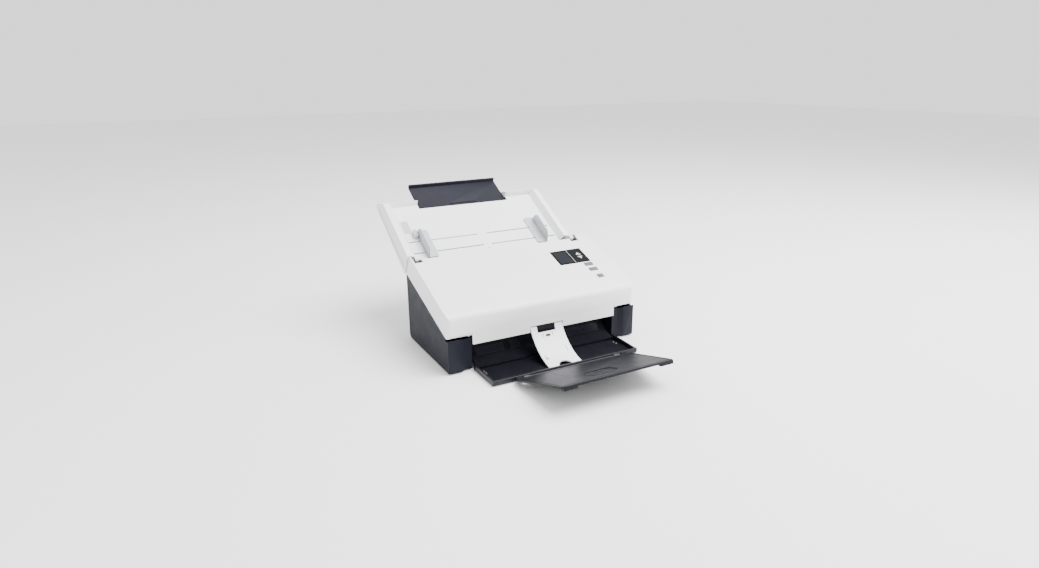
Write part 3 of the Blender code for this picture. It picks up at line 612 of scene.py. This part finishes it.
class SCANNER_OT_liner(Maker):
    """Make the curved exit liner with its ribs"""

    bl_idname = "scanner.liner"
    bl_label = "Exit liner"

    def make(self, sizes):
        low, high = node_box("output_bin")
        radius = high[1] - low[1] - LINER_THICK
        centre = np.array([low[1], low[2] + radius + LINER_THICK])
        self.shell(low, high, centre, radius)
        self.detail(centre, radius)

    def shell(self, low, high, centre, radius):
        """A quarter tube: y = cy + r cos a, z = cz + r sin a for a from -90 to 0 degrees, on an
        inner and an outer radius, joined at both rims and both ends."""
        angle = np.linspace(-np.pi / 2, 0, 41)
        arc = np.stack([np.cos(angle), np.sin(angle)], 1)
        ring = np.concatenate([centre + radius * arc, centre + (radius + LINER_THICK) * arc[::-1]])
        x = np.array([low[0], high[0]])
        points = np.zeros((2, len(ring), 3))
        points[..., 0] = x[:, None]
        points[..., 1:] = ring
        faces = grid_faces(2, len(ring), False, True).tolist()
        half = len(angle)
        for start in (0, len(ring)):
            for k in range(half - 1):
                other = 2 * half - 1 - k
                faces.append([start + k, start + k + 1, start + other - 1, start + other])
        piece = new_piece("exit_liner", points, faces, "base", "black_tray", LOOKS["black"])
        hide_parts("output_bin")

    def detail(self, centre, radius):
        """Bent plates on the liner: point(a) = centre + (radius - off) (cos a, sin a)."""
        plates = [(-108, -62, -0.95, -0.62, 0.5), (-52, -34, -0.95, -0.62, 0.5),
                  (34, 104, -0.95, -0.62, 0.5)]
        plates += [(x, x + 20, -0.24, -0.2, 0.9) for x in (-104, -74, -44, 34, 64, 90)]
        parts = [self.plate(centre, radius, *plate) for plate in plates]
        new_piece("exit_liner_plates", *merged(parts), "base", "black_tray", LOOKS["strip"])
        # painted shade: the slots are dark plates laid on the liner where open slots would show shade
        slots = [(x, x + 22, -0.42, -0.34, 0.12) for x in (-98, -68, -44, 36, 66, 90)]
        parts = [self.plate(centre, radius, *slot) for slot in slots]
        new_piece("exit_liner_slots", *merged(parts), "base", "black_tray", LOOKS["ink"])

    def plate(self, centre, radius, x0, x1, start, end, proud):
        angle = np.linspace(start, end, 9)
        arc = np.stack([np.cos(angle), np.sin(angle)], 1)
        inner = centre + (radius - proud * MM) * arc
        outer = centre + (radius + 0.2 * MM) * arc
        corners = ((x0, inner), (x1, inner), (x1, outer), (x0, outer))
        rings = [np.concatenate([np.full((9, 1), x * MM), ring], 1) for x, ring in corners]
        faces = grid_faces(9, 4, False, True).tolist() + [[3, 2, 1, 0], [32, 33, 34, 35]]
        return np.stack(rings, 1), faces


class SCANNER_OT_flap_detail(Maker):
    """Put the latch ring and long ribs on the exit flap, and ribs on the exit tray"""

    bl_idname = "scanner.flap_detail"
    bl_label = "Exit tray detail"

    def make(self, sizes):
        rims = [bar(FLAP, FLAP_MIDDLE - self.reach(a), FLAP_MIDDLE + self.reach(a), a,
                    a + 1.4 * MM, FLAP_TOP, sizes.rib_height * 0.7) for a in (8 * MM, 111 * MM)]
        for sign in (-1, 1):
            rims.append(self.side_rim(sign, sizes.rib_height * 0.7))
        rims += [bar(FLAP, x, x + 1.0 * MM, 16 * MM, 62 * MM, FLAP_TOP, sizes.rib_height * 0.4)
                 for x in (-44 * MM, 36 * MM)]
        new_piece("flap_rims", *merged(rims), "flap", "black_tray", LOOKS["flap"])
        latch = self.ring(-4 * MM, 82 * MM, 24.5 * MM, 16.5 * MM, 1.6 * MM)
        new_piece("flap_latch_ring", *latch, "flap", "black_tray", LOOKS["flap"])
        grip = pillow(FLAP, -14 * MM, 6 * MM, 74 * MM, 82 * MM, 0.3 * MM, 0.8 * MM, 3.0)
        new_piece("flap_latch_grip", *grip, "flap", "black_tray", LOOKS["flap"])
        low, high = node_box("output_tray")
        parts = [bar(DESK, low[0] + 6 * MM, high[0] - 6 * MM, y, y + 1.0 * MM, TRAY_TOP,
                     sizes.rib_height * 0.6) for y in (low[1] + 11 * MM, high[1] - 8 * MM)]
        for x in np.linspace(low[0] + 20 * MM, high[0] - 20 * MM, sizes.rib_count):
            parts.append(bar(DESK, x, x + 1.2 * MM, low[1] + 14 * MM, high[1] - 10 * MM, TRAY_TOP,
                             sizes.rib_height * 0.5))
        new_piece("tray_ribs", *merged(parts), "exit_tray", "black_tray", LOOKS["black"])
        pads = [pillow(DESK, x - 0.8 * MM, x + 0.8 * MM, y - 0.8 * MM, y + 0.8 * MM, TRAY_TOP,
                       0.4 * MM, 2.0, 4, 20)
                for x in (-111 * MM, 111 * MM) for y in (low[1] + 47 * MM, low[1] + 54 * MM)]
        new_piece("tray_stop_pads", *merged(pads), "exit_tray", "black_tray", LOOKS["lamp"])

    def reach(self, along):
        """Half the flap's width at a place along it, 4 mm in from its slanting sides."""
        return np.interp(along, FLAP_ENDS, FLAP_HALVES) - 4 * MM

    def side_rim(self, sign, height):
        """A rib along the flap's slanting side: x = middle +- reach, with a half-round section."""
        along = np.linspace(9, 111, 9)[:, None] * MM
        across = np.linspace(-1, 1, 7)[None, :]
        x = FLAP_MIDDLE + sign * self.reach(along) + across * 0.7 * MM
        off = FLAP_TOP + height * np.cos(across * np.pi / 2) ** 0.5 + 0 * along
        off[:, [0, -1]] = 1.0 * MM
        faces = grid_faces(9, 7, False, True).tolist()
        return FLAP.point(x, along + 0 * across, off), faces + [list(range(7)), list(range(56, 63))]

    def ring(self, x, along, reach_x, reach_along, width):
        """An oval rib: a superellipse of power 3 swept with a half-round section."""
        turn = np.linspace(0, 2 * np.pi, 64, endpoint=False)[:, None]
        cosine, sine = np.cos(turn), np.sin(turn)
        reach = (np.abs(cosine) ** 3 + np.abs(sine) ** 3) ** (-1 / 3)
        across = np.linspace(-1, 1, 7)[None, :]
        px = x + (reach_x + across * width / 2) * reach * cosine
        pa = along + (reach_along + across * width / 2) * reach * sine
        off = FLAP_TOP + 0.5 * MM * np.cos(across * np.pi / 2) ** 0.5 + 0 * turn
        off[:, [0, -1]] = 1.0 * MM
        return FLAP.point(px, pa, off), grid_faces(64, 7, True, True).tolist()


class SCANNER_OT_tray_detail(Maker):
    """Set the grey inserts, slot ends and size ticks on the input tray; the slot ends are dark dots
    of painted shade where the slots open
    """

    bl_idname = "scanner.tray_detail"
    bl_label = "Input tray detail"

    def make(self, sizes):
        patch = pillow(PAPER, -140.4 * MM, -129.0 * MM, 47.4 * MM, 76.6 * MM, -0.5 * MM, 0.25 * MM)
        new_piece("tray_grey_insert", *patch, "tray", "white_shell", LOOKS["grey"])
        # painted shade: dark dots where the tray's slots end in holes, standing in for the shade
        # inside them
        dots = []
        for x in (-139.6, -23.8, -5.2, 110.6):
            dots.append(pillow(PAPER, (x - 1.4) * MM, (x + 1.4) * MM, -0.4 * MM, 2.4 * MM,
                               -0.05 * MM, 0.12 * MM, 2.0, 4, 20))
        dots.append(pillow(PAPER, -15.8 * MM, -14.4 * MM, -9 * MM, -5.6 * MM, -0.05 * MM, 0.12 * MM))
        new_piece("tray_slot_ends", *merged(dots), "tray", "white_shell", LOOKS["ink"])
        ticks = []
        for reach in (52.5, 74.0, 91.0, 105.0):
            for sign in (-1, 1):
                x = (-15.0 + sign * reach) * MM
                ticks.append(bar(PAPER, x - 0.3 * MM, x + 0.3 * MM, 31 * MM, 36 * MM, -0.02 * MM,
                                 0.1 * MM))
        new_piece("tray_size_ticks", *merged(ticks), "tray", "white_shell", LOOKS["grey"])


class SCANNER_OT_panel_detail(Maker):
    """Put the pale divider on the control panel and domes on its buttons"""

    bl_idname = "scanner.panel_detail"
    bl_label = "Panel detail"

    def make(self, sizes):
        line = bar(LID, 95.0 * MM, 95.8 * MM, 77.0 * MM, 111.6 * MM, 0.3 * MM, 0.12 * MM)
        new_piece("panel_divider", *line, "cover", "panel_black", LOOKS["lamp"])
        caps = {"scan": (106.6, 121.4, 64.2, 72.0), "mode": (107.0, 122.0, 50.0, 57.6),
                "stop": (110.8, 121.0, 31.0, 38.8)}
        for body, (x0, x1, t0, t1) in caps.items():
            inset = 1.4
            dome = pillow(LID, (x0 + inset) * MM, (x1 - inset) * MM, (t0 + inset) * MM,
                          (t1 - inset) * MM, 0.85 * MM, 0.25 * MM, 6.0)
            new_piece(body + "_button_dome", *dome, body, "key_grey", LOOKS["key"])


class SCANNER_OT_guide_marks(Maker):
    """Put the dark window, its corner brackets and the slots on the exit guide; the slots are dark
    plates of painted shade, not cut openings
    """

    bl_idname = "scanner.guide_marks"
    bl_label = "Exit guide marks"

    def make(self, sizes):
        route = np.array([(0.4, 44.6), (-1.4, 40.6), (-5.2, 34.6), (-13.4, 26.0), (-22.0, 18.6),
                          (-32.0, 12.6), (-43.0, 8.0), (-54.4, 5.2)])
        length = np.concatenate([[0], np.cumsum(np.linalg.norm(np.diff(route, axis=0), axis=1))])
        marks = [(-6, 2, 11.4, 14.0), (-10.4, -9.6, 9.8, 15.6), (5.8, 6.6, 9.8, 15.6),
                 (-10.4, -8.4, 9.6, 10.2), (4.6, 6.6, 9.6, 10.2), (17.6, 18.3, 34, 44),
                 (-21.4, -20.6, 44, 47), (-22.4, -18.4, 50, 51), (-22.4, -21.4, 47.6, 53.6),
                 (-19.2, -18.4, 47.6, 53.6)]
        # the slot marks among these are painted shade; the brackets are dark print
        parts = [self.patch(route, length, *mark) for mark in marks]
        new_piece("exit_guide_marks", *merged(parts), "exit_guide", "black_tray", LOOKS["ink"])

    def patch(self, route, length, x0, x1, s0, s1):
        """A thin plate bent to the route: route(s) + off * normal(s), 0.15 mm proud of the strip."""
        s = np.linspace(s0, s1, 7)
        y, z = np.interp(s, length, route[:, 0]), np.interp(s, length, route[:, 1])
        slope = np.stack([np.gradient(y), np.gradient(z)], 1)
        slope /= np.linalg.norm(slope, axis=1)[:, None]
        normal = np.stack([slope[:, 1], -slope[:, 0]], 1)
        rows = []
        for x, off in ((x0, 0.15), (x1, 0.15), (x1, -0.3), (x0, -0.3)):
            ring = np.stack([np.full(7, x), y + off * normal[:, 0], z + off * normal[:, 1]], 1) * MM
            ring[:, 1] += FRONT_Y
            rows.append(ring)
        points = np.stack(rows, 1)
        faces = grid_faces(7, 4, False, True).tolist() + [[3, 2, 1, 0], [24, 25, 26, 27]]
        return points, faces


class SCANNER_OT_rollers(Maker):
    """Make grooved rubber rollers round the shafts"""

    bl_idname = "scanner.rollers"
    bl_label = "Rollers"

    def make(self, sizes):
        self.roller("feed_roller", "feed_drive", ((-48, -20), (-10, 18)), 11.0)
        spans = tuple((x, x + TYRE_WIDTH) for x in (-112, -56, 0, 56))
        self.roller("transport_rollers", "transport_drive", spans, 8.0)
        self.roller("exit_rollers", "exit_drive", spans, 8.0)

    def roller(self, node, body, spans, radius):
        """A turned profile whose radius is r - 0.18 (1 - cos 2 pi n u) along each tyre."""
        low, high = node_box(node)
        centre = ((low[1] + high[1]) / 2, (low[2] + high[2]) / 2)
        neck = max(4.65, radius * 0.5)
        profile = [(spans[0][0] - 2, ROLLER_BORE), (spans[0][0] - 2, neck)]
        for start, end in spans:
            profile += [(start, neck), (start, radius - 0.6)]
            u = np.linspace(0.02, 0.98, 61)
            groove = radius - 0.18 * (1 - np.cos(2 * np.pi * 10 * u))
            profile += list(zip(start + u * (end - start), groove))
            profile += [(end, radius - 0.6), (end, neck)]
        profile += [(spans[-1][1] + 2, neck), (spans[-1][1] + 2, ROLLER_BORE)]
        points, faces = turned_surface(np.array(profile) * MM, centre, 48)
        piece = new_piece(node + "_tyres", points, faces, body, "rubber", LOOKS["rubber"])
        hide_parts(node)


class SCANNER_OT_feet(Maker):
    """Make domed rubber feet with a moulded ring"""

    bl_idname = "scanner.feet"
    bl_label = "Feet"

    def make(self, sizes):
        for node in ("foot_front_left", "foot_front_right", "foot_rear_left", "foot_rear_right"):
            low, high = node_box(node)
            middle, reach = (low + high) / 2, (high[0] - low[0]) / 2
            depth = high[2] - low[2]
            profile = np.array([(0.0, 0.0), (0.55, 0.0), (0.60, 0.18), (0.68, 0.18), (0.73, 0.0),
                                (0.94, 0.0), (0.985, 0.12), (1.0, 0.35), (1.0, 1.0), (0.0, 1.0)])
            angle = np.linspace(0, 2 * np.pi, 48, endpoint=False)
            radius = np.maximum(profile[:, :1], 0.002) * reach
            points = np.stack([middle[0] + radius * np.cos(angle), middle[1] + radius * np.sin(angle),
                               np.repeat(low[2] + profile[:, 1:] * depth, 48, 1)], -1)
            faces = grid_faces(len(profile), 48, False, True).tolist()
            last = 48 * (len(profile) - 1)
            faces += [list(range(48))[::-1], list(range(last, last + 48))]
            piece = new_piece(node + "_pad", points, faces, "base", "rubber", LOOKS["rubber"])
            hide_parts(node)


class SCANNER_OT_screws(Maker):
    """Set cross-slotted screws into the rear cover and the underside"""

    bl_idname = "scanner.screws"
    bl_label = "Screws"

    def make(self, sizes):
        low, high = node_box("rear_cover")
        back = [(x, high[1], z) for x in (low[0] + 12 * MM, high[0] - 12 * MM)
                for z in (14 * MM, 92 * MM)]
        parts = [self.head(np.array(p), (0, 1, 0), sizes.screw_radius) for p in back]
        pan_low, pan_high = node_box("base_pan")
        for x in (pan_low[0] + 10 * MM, pan_high[0] - 10 * MM):
            for y in (pan_low[1] + 10 * MM, pan_high[1] - 10 * MM):
                parts.append(self.head(np.array((x, y, pan_low[2])), (0, 0, -1), sizes.screw_radius))
        new_piece("casing_screws", *merged(parts), "base", "steel", LOOKS["steel"])

    def head(self, centre, axis, radius):
        """A low dome whose height is h (1 - r^2), pressed down by a cross |u| or |v| < 0.16."""
        rings, steps = 9, 32
        angle = np.linspace(0, 2 * np.pi, steps, endpoint=False)
        r = np.linspace(1, 0.04, rings)[:, None]
        u, v = r * np.cos(angle), r * np.sin(angle)
        cross = (np.minimum(np.abs(u), np.abs(v)) < 0.16) & (r < 0.7)
        height = 0.5 * MM * (1 - r ** 2) - 0.45 * MM * cross - 0.25 * MM
        normal = Vector(axis)
        first = np.array(normal.orthogonal().normalized())
        second = np.cross(np.array(axis, float), first)
        points = (centre + u[..., None] * radius * first + v[..., None] * radius * second
                  + height[..., None] * np.array(axis, float))
        skirt = points[0] - 0.4 * MM * np.array(axis, float)
        points = np.concatenate([points.reshape(-1, 3), skirt])
        faces = grid_faces(rings, steps, False, True).tolist()
        start = rings * steps
        faces.append(list(range(start - steps, start)))
        faces += [[k, (k + 1) % steps, start + (k + 1) % steps, start + k] for k in range(steps)]
        faces.append(list(range(start, start + steps))[::-1])
        return points, faces


class SCANNER_OT_stage(bpy.types.Operator):
    """Make the floor, the lights and the camera"""

    bl_idname = "scanner.stage"
    bl_label = "Stage"
    bl_options = {"REGISTER", "UNDO"}

    def execute(self, context):
        studio = context.scene.scanner_studio
        self.floor()
        self.lights(context, studio)
        self.camera(context)
        return {"FINISHED"}

    def floor(self):
        r = FLOOR_REACH
        mesh = bpy.data.meshes.new("floor")
        mesh.from_pydata([(-r, -r, 0), (r, -r, 0), (r, r, 0), (-r, r, 0)], [], [(0, 1, 2, 3)])
        f = Finish("floor_paint")
        f.dress(Base_Color=f.mix(f.noise(3.0), (0.90, 0.90, 0.90), (0.92, 0.92, 0.92)),
                Roughness=0.75)
        mesh.materials.append(f.material)
        floor = bpy.data.objects.new("floor", mesh)
        bpy.context.scene.collection.objects.link(floor)

    def lights(self, context, studio):
        rigs = (("key_light", (0.75, -0.45, 1.9), 1.8, studio.key_power),
                ("fill_light", (1.7, -0.9, 0.9), 1.4, studio.fill_power))
        for name, place, size, power in rigs:
            light = bpy.data.lights.new(name, "AREA")
            light.shape = "DISK"
            light.size = size
            light.energy = power
            lamp = bpy.data.objects.new(name, light)
            lamp.location = place
            lamp.rotation_euler = (-Vector(place)).to_track_quat("-Z", "Y").to_euler()
            context.scene.collection.objects.link(lamp)
        world = bpy.data.worlds.new("room")
        world.use_nodes = True
        world.node_tree.nodes["Background"].inputs["Color"].default_value = (1.0, 1.0, 1.0, 1.0)
        world.node_tree.nodes["Background"].inputs["Strength"].default_value = studio.surround
        context.scene.world = world

    def camera(self, context):
        data = bpy.data.cameras.new("camera")
        data.lens = LENS
        data.sensor_width = SENSOR
        camera = bpy.data.objects.new("camera", data)
        place = Vector(CAMERA_AT)
        roll = Matrix.Rotation(CAMERA_ROLL, 4, "Z")
        turn = (Vector(CAMERA_LOOKS_AT) - place).to_track_quat("-Z", "Y").to_matrix().to_4x4()
        camera.matrix_world = Matrix.Translation(place) @ turn @ roll
        context.scene.collection.objects.link(camera)
        context.scene.camera = camera


STEPS = (SCANNER_OT_stage, SCANNER_OT_shells, SCANNER_OT_small_parts, SCANNER_OT_inner_parts,
         SCANNER_OT_liner, SCANNER_OT_flap_detail, SCANNER_OT_tray_detail,
         SCANNER_OT_panel_detail, SCANNER_OT_guide_marks, SCANNER_OT_rollers, SCANNER_OT_feet,
         SCANNER_OT_screws)


class SCANNER_PT_panel(bpy.types.Panel):
    """Lists the scanner's settings and the steps that make it"""

    bl_idname = "SCANNER_PT_panel"
    bl_label = "Scanner"
    bl_space_type = "VIEW_3D"
    bl_region_type = "UI"
    bl_category = "Scanner"

    def draw(self, context):
        layout = self.layout
        for group in ("scanner_colours", "scanner_sizes", "scanner_studio"):
            settings = getattr(context.scene, group)
            box = layout.box()
            for name in settings.__annotations__:
                box.prop(settings, name)
        for step in STEPS:
            layout.operator(step.bl_idname)


GROUPS = {"scanner_colours": ScannerColours, "scanner_sizes": ScannerSizes,
          "scanner_studio": ScannerStudio}


def register():
    for group in GROUPS.values():
        bpy.utils.register_class(group)
    for name, group in GROUPS.items():
        setattr(bpy.types.Scene, name, PointerProperty(type=group))
    for step in (*STEPS, SCANNER_PT_panel):
        bpy.utils.register_class(step)


def unregister():
    for step in (SCANNER_PT_panel, *reversed(STEPS)):
        bpy.utils.unregister_class(step)
    for name, group in GROUPS.items():
        delattr(bpy.types.Scene, name)
        bpy.utils.unregister_class(group)


def main():
    register()
    make_looks(bpy.context.scene.scanner_colours)
    for step in STEPS:
        group, action = step.bl_idname.split(".")
        getattr(getattr(bpy.ops, group), action)()


if __name__ == "__main__":
    main()
